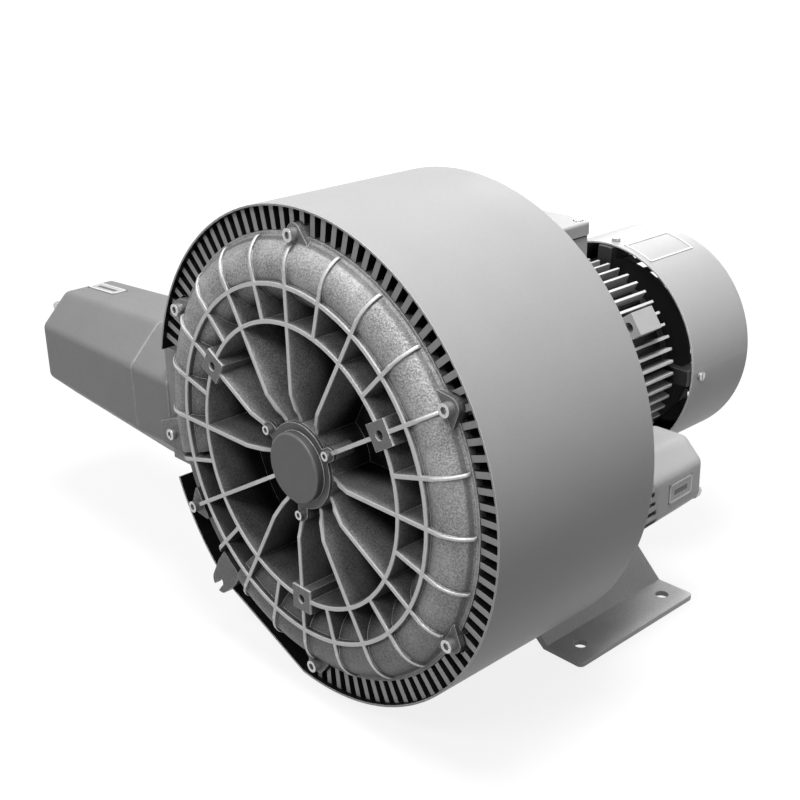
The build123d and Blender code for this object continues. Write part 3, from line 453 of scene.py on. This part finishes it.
def bead_path(at_lug):
    """Stations of a bead: place on the shoulder, its outward direction, and the bead's share of height."""
    last = bead_to_at_lug if at_lug else bead_to
    for lean_angle in range(bead_from, last + 1, bead_step):
        lean = math.radians(lean_angle)
        height = min(1.0, max(bead_lowest, (last + bead_fade / 2 - lean_angle) / bead_fade))
        yield (shoulder_circle + shoulder_radius * math.sin(lean),
               shoulder_depth - shoulder_radius * math.cos(lean), math.sin(lean), -math.cos(lean), height)


bead_points, bead_faces, bead_finish = [], [], []
corners = len(bead_section)
for angle in (bead_spacing * step for step in range(360 // bead_spacing)):
    if port_from < angle < port_to:
        continue
    turn = math.radians(angle)
    sideways = Vector((math.cos(turn), 0, -math.sin(turn))) * mm
    start = len(bead_points)
    for number, (radius, depth, out, forward, height) in enumerate(bead_path(angle in lug_angles)):
        first = len(bead_points)
        for side, rise in bead_section:
            lift = rise * height if rise > 0 else rise
            bead_points.append(row_place(radius + out * lift, depth + forward * lift, angle) + sideways * side)
        if number:
            for k in range(corners):
                a, b = first + k, first + (k + 1) % corners
                bead_faces.append((a, b, b - corners, a - corners))
                bead_finish.append(1 if k in bead_top_faces else 0)
    bead_faces += [tuple(range(start, start + corners)), tuple(range(first, first + corners))]
    bead_finish += [0, 0]
beads = mesh_piece("cover_rib_beads", bead_points, bead_faces, (cover_cast, crest_highlight_and_rub), "cast_cover", smooth=True)
colour_faces(beads, bead_finish)

# Port ears. Beside the side port the cover and the housing each carry a flat cast ear, one on
# the other, which close the front of the port box; one screw holds them together.
ear_outline = ((-217, -20), (-236.5, -23), (-265.5, -35), (-265, -60), (-214.5, -64.5), (-210, -62))
ear_screw = (-241.5, -43.5)
cover_ear_depths = (4, 12)
housing_ear_depths = (12.2, 21)
ear_bevel = 0.9
ear_screw_profile = ((6.4, -0.2), (6.4, 4.4), (5.8, 5.0), (3.4, 5.0), (3.2, 2.0), (0.4, 1.8))


def slab(name, outline, depths, finish, slot, bevel):
    """Flat piece of an outline (across, up) between two depths, all in millimetres."""
    points = [row_point(across, depth, up) for depth in depths for across, up in outline]
    count = len(outline)
    faces = [tuple(range(count)), tuple(range(count, 2 * count))]
    faces += [(k, (k + 1) % count, count + (k + 1) % count, count + k) for k in range(count)]
    return mesh_piece(name, points, faces, (finish,), slot, bevel=bevel * mm)


def turned(name, centre, axis, profile, finish, slot, sides=32):
    """Turned piece: profile of (radius, height) in millimetres about an axis through a row point."""
    along = Vector(axis).normalized()
    first = along.orthogonal().normalized()
    second = along.cross(first)
    points = []
    for radius, height in profile:
        for k in range(sides):
            turn = 2 * math.pi * k / sides
            spoke = (first * math.cos(turn) + second * math.sin(turn)) * radius
            points.append(centre + (along * height + spoke) * mm)
    faces = [tuple(range(sides)), tuple(range(sides * (len(profile) - 1), sides * len(profile)))]
    for ring in range(len(profile) - 1):
        for k in range(sides):
            a, b = ring * sides + k, ring * sides + (k + 1) % sides
            faces.append((a, b, b + sides, a + sides))
    return mesh_piece(name, points, faces, (finish,), slot)


slab("cover_port_ear", ear_outline, cover_ear_depths, cover_cast, "cast_cover", ear_bevel)
slab("housing_port_ear", ear_outline, housing_ear_depths, cover_cast, "cast_housing", ear_bevel)
zinc = weathered("zinc_plate", body=colour(0.80), spots=colour(0.66), edge=colour(0.98), recess=colour(0.10),
                 metallic=0.8, gloss=(0.25, 0.4), grain=0.7 * mm, relief=0.04 * mm, edge_radius=0.5 * mm,
                 reach=5 * mm, bias=0.3)
ear_screw_seat = row_point(ear_screw[0], cover_ear_depths[0], ear_screw[1])
turned("port_ear_screw", ear_screw_seat, (0, -1, 0), ear_screw_profile, zinc, "zinc_screw")

# Bearing cap. A small turned lid over the front bearing, painted grey and rubbed bright
# round its rim, where the bright rim is also a painted highlight. Three screws through its ears hold it on the hub.
cap_paint = weathered("cap_paint", body=colour(0.38), spots=colour(0.33), edge=colour(0.95), recess=colour(0.2),
                      metallic=0.1, gloss=(0.45, 0.58), grain=1.0 * mm, relief=0.12 * mm, edge_radius=1.3 * mm,
                      edge_strength=8.0)
dress(cap_paint, "bearing_cap")


# Pump housing and the divider behind the cover. Sand-cast aluminium like the cover, duller and
# darker. It shows as the ends of its fins between cover and shroud, and as the ribbed back wall.
def fin_layers(tree):
    """Black painted shade on the fin sides in the gaps between the fins, and bright fin ends, outside the cover's
    flange.
    """
    about = place_group(tree, shaft_place).outputs
    ring = band(tree, about["Radius"], 221 * mm, 223 * mm)
    yield maths(tree, "MULTIPLY", ring, band(tree, about["Forward"], 0.6, 0.2)), colour(0.05)
    end = maths(tree, "MULTIPLY", ring, band(tree, about["Forward"], 0.6, 0.9))
    yield maths(tree, "MULTIPLY", end, band(tree, about["Depth"], 8 * mm, 6 * mm)), colour(0.60)


housing_cast = weathered("housing_cast", body=colour(0.58), spots=colour(0.44), edge=colour(0.85),
                         recess=colour(0.03), metallic=0.25, gloss=(0.45, 0.65), grain=1.3 * mm, relief=0.3 * mm,
                         edge_radius=0.6 * mm, edge_strength=3.0, reach=20 * mm, bias=0.22, layers=fin_layers)
dress(housing_cast, "pump_housing", "stage_divider")


# Shroud. Rolled steel sheet in light grey powder paint, open on the left for the side port,
# with a cut front edge that shines, partly as bare steel and partly as a painted highlight. Slotted screws through
# tabs at its back hold it.
def sheet_inside_shade(tree):
    """Painted shade: the side of a rolled sheet that looks at the shaft is painted black."""
    about = place_group(tree, shaft_place).outputs
    yield band(tree, about["Outward"], -0.3, -0.5), colour(0.03)


# The shroud's inner side is painted black as painted shade.
shroud_paint = weathered("shroud_paint", body=colour(0.64), spots=colour(0.60), edge=colour(0.98),
                         recess=colour(0.35), metallic=0.0, gloss=(0.42, 0.50), grain=1.8 * mm, relief=0.05 * mm,
                         edge_radius=0.9 * mm, edge_strength=8.0, reach=15 * mm, bias=0.4, spot_share=0.3,
                         specular=0.3, layers=sheet_inside_shade)
dress(shroud_paint, "shroud")

# Silencers. Cast aluminium shells in grey paint that narrow towards a threaded port: the left
# one on a collar and lined with black foam, the rear one beside the motor. Screws in two
# corners of their end walls hold them.
# The broad light bands along the silencers' edges are painted ridge highlights over a wide edge radius.
silencer_paint = weathered("silencer_paint", body=colour(0.53), spots=colour(0.47), edge=colour(0.88),
                           recess=colour(0.12), metallic=0.0, gloss=(0.38, 0.5), grain=1.6 * mm, relief=0.1 * mm,
                           edge_radius=9.0 * mm, edge_strength=2.2, reach=10 * mm, bias=0.35, specular=0.3)
dress(silencer_paint, "side_silencer_collar", "side_silencer_body")
# The rear silencer's paint is a lighter copy of the same grey, to make up for the shroud's shade on it.
rear_lightened_paint = weathered("rear_silencer_lightened_paint", body=colour(0.76), spots=colour(0.70), edge=colour(0.92),
                       recess=colour(0.06), metallic=0.0, gloss=(0.38, 0.5), grain=1.6 * mm, relief=0.1 * mm,
                       edge_radius=14.0 * mm, edge_strength=1.6, reach=8 * mm, bias=0.35)
dress(rear_lightened_paint, "rear_silencer_body")
foam = weathered("acoustic_foam", body=colour(0.16), spots=colour(0.10), edge=colour(0.2), recess=colour(0.04),
                 metallic=0.0, gloss=(0.9, 1.0), grain=1.5 * mm, relief=0.8 * mm)
dress(foam, "side_silencer_liner")

# Bare plates. Thin plates with a raised light rim and a dark bar, stuck on the left silencer's
# top and on the rear silencer's outer side. The cowl's plate is made the same way, without a bar.
plate_rim_width = 2.2
plate_steps = 6
field_rise, bar_rise, rim_rise = 0.3, 0.5, 0.7
side_plate_size, side_plate_bar = (62, 21), (42, 5)
side_plate_middle = (-531, 106)
side_top_height, side_top_reach, side_top_slope = 48.6, 190, 11 / 229
rear_plate_size, rear_plate_bar = (42, 22), (24, 5.5)
rear_plate_middle = (356, -90)
rear_side_across, rear_side_reach, rear_side_slope = 188.1, 150, 7 / 192
plate_field = weathered("plate_field", body=colour(0.78), spots=colour(0.66), edge=colour(0.8), recess=colour(0.4),
                        metallic=0.0, gloss=(0.3, 0.42), grain=1.2 * mm, relief=0.02 * mm)
plate_rim = weathered("plate_rim", body=colour(0.93), spots=colour(0.86), edge=colour(1.0), recess=colour(0.6),
                      metallic=0.0, gloss=(0.3, 0.42), grain=1.2 * mm, relief=0.02 * mm)
plate_bar = weathered("plate_bar", body=colour(0.28), spots=colour(0.22), edge=colour(0.4), recess=colour(0.15),
                      metallic=0.0, gloss=(0.3, 0.42), grain=1.2 * mm, relief=0.02 * mm)


def framed_plate(name, place, length, width, bar=None, slot="silencer_paint"):
    """Bare plate with a rim and maybe a bar; place gives a row point from (along, across, rise)."""
    points, faces, finish = [], [], []

    def pad(x0, x1, y0, y1, top, index):
        """Thin pad between two lengths and two widths, of one finish."""
        base = len(points)
        for rise in (0, top):
            points.extend(place(x, y, rise) for x, y in ((x0, y0), (x1, y0), (x1, y1), (x0, y1)))
        faces.extend(tuple(base + k for k in quad) for quad in
                     ((0, 1, 2, 3), (4, 5, 6, 7), (0, 1, 5, 4), (1, 2, 6, 5), (2, 3, 7, 6), (3, 0, 4, 7)))
        finish.extend([index] * 6)

    steps = plate_steps
    for k in range(steps):
        x0, x1 = length * (k / steps - 0.5), length * ((k + 1) / steps - 0.5)
        pad(x0, x1, -width / 2, width / 2, field_rise, 0)
        pad(x0, x1, -width / 2, plate_rim_width - width / 2, rim_rise, 1)
        pad(x0, x1, width / 2 - plate_rim_width, width / 2, rim_rise, 1)
    for side in (-1, 1):
        x0, x1 = sorted((side * length / 2, side * (length / 2 - plate_rim_width)))
        for k in range(steps):
            pad(x0, x1, width * (k / steps - 0.5), width * ((k + 1) / steps - 0.5), rim_rise, 1)
    if bar:
        pad(-bar[0] / 2, bar[0] / 2, -bar[1] / 2, bar[1] / 2, bar_rise, 2)
    plate = mesh_piece(name, points, faces, (plate_field, plate_rim, plate_bar), slot)
    colour_faces(plate, finish)


def on_side_silencer(along, across, rise):
    """Point on the sloping top of the left silencer."""
    middle_across, middle_depth = side_plate_middle
    return row_point(middle_across + along, middle_depth + across,
                     side_top_height - (side_top_reach - along) * side_top_slope + rise)


def on_rear_silencer(along, across, rise):
    """Point on the sloping outer side of the rear silencer."""
    middle_depth, middle_up = rear_plate_middle
    return row_point(rear_side_across - (rear_side_reach + along) * rear_side_slope + rise,
                     middle_depth + along, middle_up + across)


framed_plate("side_silencer_plate", on_side_silencer, *side_plate_size, bar=side_plate_bar)
framed_plate("rear_silencer_plate", on_rear_silencer, *rear_plate_size, bar=rear_plate_bar)

# End nuts. A zinc-plated cap nut on the end wall of each silencer, beside its threaded port.
# It is turned with a short domed neck, and its root is set into the wall.
nut_profile = ((6.5, -3), (6.5, 4), (5.6, 4.6), (4.6, 5.2), (4.6, 8.4), (3.6, 9.6), (0.4, 10.0))
side_nut_seat = row_point(-572, 58, 18)
rear_nut_seat = row_point(172, 397.5, -112)
turned("side_silencer_nut", side_nut_seat, (-1, 0, 0), nut_profile, zinc, "zinc_screw")
turned("rear_silencer_nut", rear_nut_seat, (0, 1, 0), nut_profile, zinc, "zinc_screw")

# Motor. Finned aluminium frame between a flange and a rear end shield, a rolled sheet cowl
# over the fan and a terminal box on top, in grey paint; the shield is painted dark as painted
# shade. Inside are its copper windings and the steel sheets of its cores; a bare plate is stuck on the cowl.
cowl_radius = 128
cowl_plate_size = (80, 40)
cowl_plate_middle = (495, 18)
cowl_plate_lift = 128.05


def frame_layers(tree):
    """Painted highlight on the cooling fins' crests and black painted shade in the gaps between them."""
    about = place_group(tree, shaft_place).outputs
    fin_gap_shade = maths(tree, "MULTIPLY", band(tree, about["Radius"], 99 * mm, 93 * mm),
                band(tree, about["Depth"], 232 * mm, 238 * mm))
    yield fin_gap_shade, colour(0.04)
    ring = maths(tree, "MULTIPLY", band(tree, about["Radius"], 108.6 * mm, 109.2 * mm),
                 band(tree, about["Radius"], 110.4 * mm, 110.0 * mm))
    yield ring, colour(0.88)


motor_paint = weathered("motor_paint", body=colour(0.68), spots=colour(0.62), edge=colour(0.92),
                        recess=colour(0.08), metallic=0.05, gloss=(0.38, 0.5), grain=1.0 * mm, relief=0.08 * mm,
                        edge_radius=0.8 * mm, edge_strength=5.0, reach=18 * mm, bias=0.3)
dress(motor_paint, "motor_flange", "terminal_box", "terminal_lid")
frame_paint = weathered("frame_paint", body=colour(0.74), spots=colour(0.66), edge=colour(0.95),
                        recess=colour(0.06), metallic=0.05, gloss=(0.38, 0.5), grain=1.0 * mm, relief=0.08 * mm,
                        edge_radius=0.8 * mm, edge_strength=5.0, reach=14 * mm, bias=0.42, layers=frame_layers)
dress(frame_paint, "motor_frame")
shaded_shield_paint = weathered("shaded_shield_paint", body=colour(0.16), spots=colour(0.12), edge=colour(0.5),
                         recess=colour(0.02), metallic=0.05, gloss=(0.45, 0.6), grain=1.0 * mm, relief=0.1 * mm,
                         reach=30 * mm, bias=0.05)
dress(shaded_shield_paint, "rear_end_shield")
# Like the shroud, the cowl's inner side is painted black as painted shade.
cowl_paint = weathered("cowl_paint", body=colour(0.72), spots=colour(0.68), edge=colour(0.98), recess=colour(0.3),
                       metallic=0.0, gloss=(0.40, 0.50), grain=1.6 * mm, relief=0.05 * mm, edge_radius=1.0 * mm,
                       edge_strength=8.0, reach=10 * mm, bias=0.45, layers=sheet_inside_shade)
dress(cowl_paint, "fan_cowl")


def on_cowl(along, across, rise):
    """Point on the round top of the cowl."""
    middle_depth, middle_angle = cowl_plate_middle
    return row_place(cowl_plate_lift + rise, middle_depth + along, middle_angle + math.degrees(across / cowl_radius))


framed_plate("cowl_plate", on_cowl, *cowl_plate_size, slot="painted_sheet")
winding = weathered("varnished_wire", body=colour(0.62, 0.36, 0.2), spots=colour(0.5, 0.25, 0.12),
                    edge=colour(0.8, 0.5, 0.3), recess=colour(0.15, 0.08, 0.05), metallic=0.6, gloss=(0.3, 0.45),
                    grain=1.2 * mm, relief=0.6 * mm)
dress(winding, "stator_windings")
core_steel = weathered("core_sheets", body=colour(0.36), spots=colour(0.28), edge=colour(0.6), recess=colour(0.1),
                       metallic=0.9, gloss=(0.4, 0.5), grain=0.5 * mm, relief=0.1 * mm)
dress(core_steel, "stator_core", "rotor_core")

# Cooling fan. Moulded in black plastic behind the motor: a hub on the shaft end, a full back
# plate, and nine straight blades that throw air either way. Block and gland are of its plastic.
fan_profile = ((13.2, 472), (29, 472), (34, 475.5), (102, 476), (103.6, 477.2), (102, 478.4), (35, 480),
               (30, 486), (28, 500), (13.2, 500))
fan_sides = 72
blade_count = 9
# Radius, front edge, back edge and half thickness at four stations of a blade.
blade_stations = ((27, 477, 501, 1.8), (60, 477, 505.5, 1.5), (95, 477, 505.5, 1.3), (103.8, 477, 496, 1.1))
fan_plastic = weathered("fan_plastic", body=colour(0.14), spots=colour(0.11), edge=colour(0.3), recess=colour(0.05),
                        metallic=0.0, gloss=(0.5, 0.6), grain=0.8 * mm, relief=0.05 * mm)
dress(fan_plastic, "terminal_block", "cable_gland")
fan_points, fan_faces = [], []
for radius, depth in fan_profile:
    fan_points += [row_place(radius, depth, 360 * k / fan_sides) for k in range(fan_sides)]
for ring in range(len(fan_profile)):
    to_next = ((ring + 1) % len(fan_profile) - ring) * fan_sides
    for k in range(fan_sides):
        a, b = ring * fan_sides + k, ring * fan_sides + (k + 1) % fan_sides
        fan_faces.append((a, b, b + to_next, a + to_next))
for blade in range(blade_count):
    base = len(fan_points)
    blade_angle = blade * 360 // blade_count
    turn = math.radians(blade_angle)
    sideways = Vector((math.cos(turn), 0, -math.sin(turn))) * mm
    for radius, front, back, half in blade_stations:
        for side, depth in ((-half, front), (half, front), (half, back), (-half, back)):
            fan_points.append(row_place(radius, depth, blade_angle) + sideways * side)
    for part in range(len(blade_stations) - 1):
        for k in range(4):
            a, b = base + 4 * part + k, base + 4 * part + (k + 1) % 4
            fan_faces.append((a, b, b + 4, a + 4))
    tip = len(fan_points) - 4
    fan_faces += [tuple(range(base, base + 4)), tuple(range(tip, tip + 4))]
fan = mesh_piece("fan_moulding", fan_points, fan_faces, (fan_plastic,), "fan_plastic", "rotor", bevel=0.4 * mm)
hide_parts("cooling_fan")


# Feet. Thick bent steel plates in light grey paint, made lighter to make up for the shade under
# the drum, and chipped bright along their edges. Two bolts through the upright web hold each one, and the webs carry
# painted shade, darker towards the top.
def foot_layers(tree):
    """Painted shade on the upright web under the drum, darker towards the top."""
    yield band(tree, object_place(tree)["Z"], 30 * mm, 75 * mm, 0.0, 0.45), colour(0.22)


foot_paint = weathered("foot_paint", body=colour(0.92), spots=colour(0.74), edge=colour(0.98), recess=colour(0.12),
                       metallic=0.0, gloss=(0.4, 0.52), grain=1.8 * mm, relief=0.2 * mm, edge_radius=1.2 * mm,
                       edge_strength=6.0, reach=12 * mm, bias=0.62, layers=foot_layers)
dress(foot_paint, "left_foot", "right_foot")

# Running gear. Ground shaft and sleeve, bearings, keys and nut of bright steel, two cast
# aluminium impellers, and the black rubber of the shaft's seal and the box's gasket.
turned_steel = weathered("turned_steel", body=colour(0.66), spots=colour(0.58), edge=colour(0.9),
                         recess=colour(0.2), metallic=1.0, gloss=(0.22, 0.35), grain=0.4 * mm, relief=0.02 * mm)
dress(turned_steel, "shaft", "shaft_nut", "impeller_keys", "spacer_sleeve", "fan_clip", "side_silencer_tube",
      "front_bearing_outer", "front_bearing_inner", "drive_bearing_outer", "drive_bearing_inner",
      "fan_bearing_outer", "fan_bearing_inner")
impeller_cast = weathered("impeller_cast", body=colour(0.72), spots=colour(0.62), edge=colour(0.95),
                          recess=colour(0.2), metallic=0.8, gloss=(0.3, 0.45), grain=0.9 * mm, relief=0.1 * mm)
dress(impeller_cast, "impeller_front", "impeller_rear")
seal_rubber = weathered("seal_rubber", body=colour(0.10), spots=colour(0.07), edge=colour(0.2), recess=colour(0.03),
                        metallic=0.0, gloss=(0.6, 0.75), grain=0.6 * mm, relief=0.05 * mm)
dress(seal_rubber, "shaft_seal", "terminal_gasket")

# Screws. Zinc-plated socket, hexagon and slotted heads all over the machine, in the same
# finish as the port ears' screw, with painted shade in their sockets.
dress(zinc, "bearing_cap_screws", "cover_screws", "divider_screws", "shroud_screws",
      "side_silencer_screws", "rear_silencer_screws", "flange_bolts", "foot_bolts", "end_shield_bolts",
      "cowl_screws", "terminal_lid_screws")
